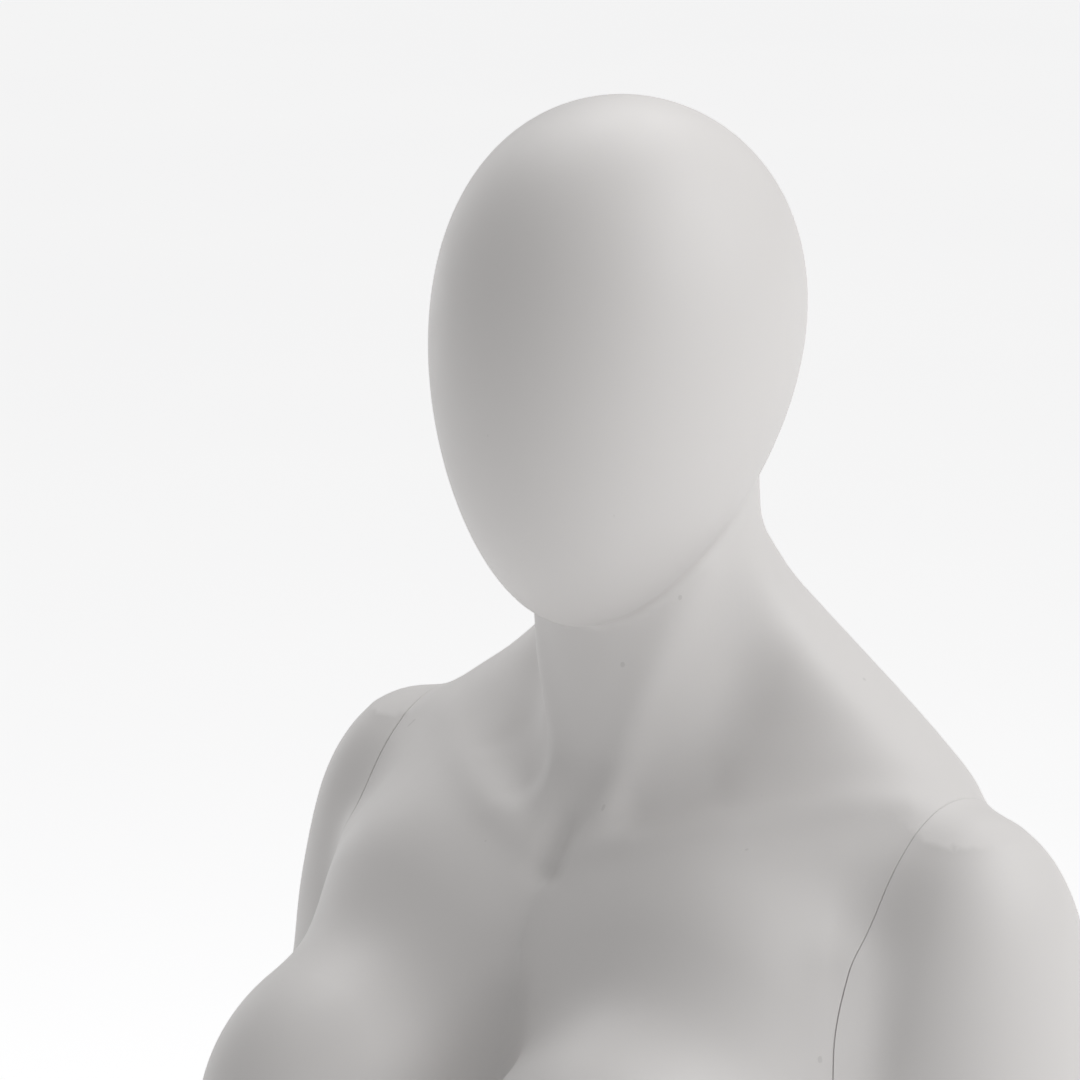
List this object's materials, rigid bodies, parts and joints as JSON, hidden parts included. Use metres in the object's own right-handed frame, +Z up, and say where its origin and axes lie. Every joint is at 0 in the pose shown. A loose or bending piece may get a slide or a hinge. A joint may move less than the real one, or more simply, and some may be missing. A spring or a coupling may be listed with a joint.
{
  "type": "full body mannequin",
  "caption": "Standing full-figured display mannequin with a faceless egg-shaped head, lift-off torso, arms, hands and leg, on a round steel base with a calf rod.",
  "frame": {"origin": "middle of the underside of the round base, on the floor", "axes": "+Z up, the figure faces -Y, its left side is +X"},
  "size_m": [0.6242, 0.42, 1.7842],
  "materials": {
    "shell_lacquer": "matte sprayed lacquer on glass-fibre shell",
    "panel_board": "sealed fibreboard closing panel",
    "fitting_steel": "turned steel, satin",
    "bush_nylon": "black nylon",
    "screw_zinc": "bright zinc",
    "magnet_nickel": "nickel plated",
    "base_steel": "satin brushed steel plate",
    "rod_chrome": "polished rod",
    "pad_rubber": "black anti-slip rubber"
  },
  "bodies": {
    "base": {"base_plate": "base_steel", "antislip_pad": "pad_rubber", "rod_holder": "fitting_steel", "holder_screws": "screw_zinc", "rod_grub_screw": "screw_zinc", "support_rod": "rod_chrome"},
    "lower_body": {"pelvis_shell": "shell_lacquer", "left_thigh_shell": "shell_lacquer", "left_calf_shell": "shell_lacquer", "calf_socket": "fitting_steel", "waist_panel_lower": "panel_board", "waist_socket": "fitting_steel", "waist_socket_screws": "screw_zinc", "hip_panel": "panel_board", "hip_bar": "fitting_steel", "hip_bar_screws": "screw_zinc"},
    "right_leg": {"right_thigh_shell": "shell_lacquer", "right_calf_shell": "shell_lacquer", "thigh_panel": "panel_board", "thigh_tube": "fitting_steel", "thigh_tube_screws": "screw_zinc"},
    "waist_bush": {"waist_bush": "bush_nylon"},
    "upper_body": {"torso_shell": "shell_lacquer", "neck_shell": "shell_lacquer", "head_shell": "shell_lacquer", "waist_panel_upper": "panel_board", "waist_spigot": "fitting_steel", "waist_spigot_screws": "screw_zinc", "left_torso_panel": "panel_board", "left_shoulder_socket": "fitting_steel", "left_shoulder_socket_screws": "screw_zinc", "left_shoulder_socket_magnets": "magnet_nickel", "right_torso_panel": "panel_board", "right_shoulder_socket": "fitting_steel", "right_shoulder_socket_screws": "screw_zinc", "right_shoulder_socket_magnets": "magnet_nickel"},
    "left_shoulder_bush": {"left_shoulder_bush": "bush_nylon"},
    "left_arm": {"left_arm_shell": "shell_lacquer", "left_arm_panel": "panel_board", "left_shoulder_spigot": "fitting_steel", "left_shoulder_spigot_screws": "screw_zinc", "left_shoulder_spigot_magnets": "magnet_nickel", "left_wrist_panel": "panel_board", "left_wrist_socket": "fitting_steel"},
    "left_wrist_bush": {"left_wrist_bush": "bush_nylon"},
    "left_hand": {"left_hand": "shell_lacquer", "left_wrist_spigot": "fitting_steel"},
    "right_shoulder_bush": {"right_shoulder_bush": "bush_nylon"},
    "right_arm": {"right_arm_shell": "shell_lacquer", "right_arm_panel": "panel_board", "right_shoulder_spigot": "fitting_steel", "right_shoulder_spigot_screws": "screw_zinc", "right_shoulder_spigot_magnets": "magnet_nickel", "right_wrist_panel": "panel_board", "right_wrist_socket": "fitting_steel"},
    "right_wrist_bush": {"right_wrist_bush": "bush_nylon"},
    "right_hand": {"right_hand": "shell_lacquer", "right_wrist_spigot": "fitting_steel"}
  },
  "joints": [
    {"name": "figure_lift", "type": "slide", "parent": "base", "child": "lower_body", "axis": [0, 0, 1], "range_m": [0, 0.12]},
    {"name": "right_leg_pull", "type": "slide", "parent": "lower_body", "child": "right_leg", "axis": [-1, 0, 0], "range_m": [0, 0.035]},
    {"name": "waist_turn", "type": "hinge", "parent": "lower_body", "child": "waist_bush", "pos_m": [0, -0.002, 1.105], "axis": [0, 0, 1], "range_deg": [-30, 30]},
    {"name": "waist_lift", "type": "slide", "parent": "waist_bush", "child": "upper_body", "axis": [0, 0, 1], "range_m": [0, 0.06]},
    {"name": "left_arm_turn", "type": "hinge", "parent": "upper_body", "child": "left_shoulder_bush", "pos_m": [0.152, 0.026, 1.392], "axis": [-1, 0, 0], "range_deg": [-30, 90]},
    {"name": "left_arm_pull", "type": "slide", "parent": "left_shoulder_bush", "child": "left_arm", "axis": [1, 0, 0], "range_m": [0, 0.05]},
    {"name": "left_hand_turn", "type": "hinge", "parent": "left_arm", "child": "left_wrist_bush", "pos_m": [0.282, -0.014, 0.892], "axis": [0.205, -0.165, -0.9648], "range_deg": [-60, 60]},
    {"name": "left_hand_pull", "type": "slide", "parent": "left_wrist_bush", "child": "left_hand", "axis": [0.205, -0.165, -0.9648], "range_m": [0, 0.03]},
    {"name": "right_arm_turn", "type": "hinge", "parent": "upper_body", "child": "right_shoulder_bush", "pos_m": [-0.152, 0.026, 1.392], "axis": [-1, 0, 0], "range_deg": [-30, 90]},
    {"name": "right_arm_pull", "type": "slide", "parent": "right_shoulder_bush", "child": "right_arm", "axis": [-1, 0, 0], "range_m": [0, 0.05]},
    {"name": "right_hand_turn", "type": "hinge", "parent": "right_arm", "child": "right_wrist_bush", "pos_m": [-0.282, -0.014, 0.892], "axis": [-0.205, -0.165, -0.9648], "range_deg": [-60, 60]},
    {"name": "right_hand_pull", "type": "slide", "parent": "right_wrist_bush", "child": "right_hand", "axis": [-0.205, -0.165, -0.9648], "range_m": [0, 0.03]}
  ]
}
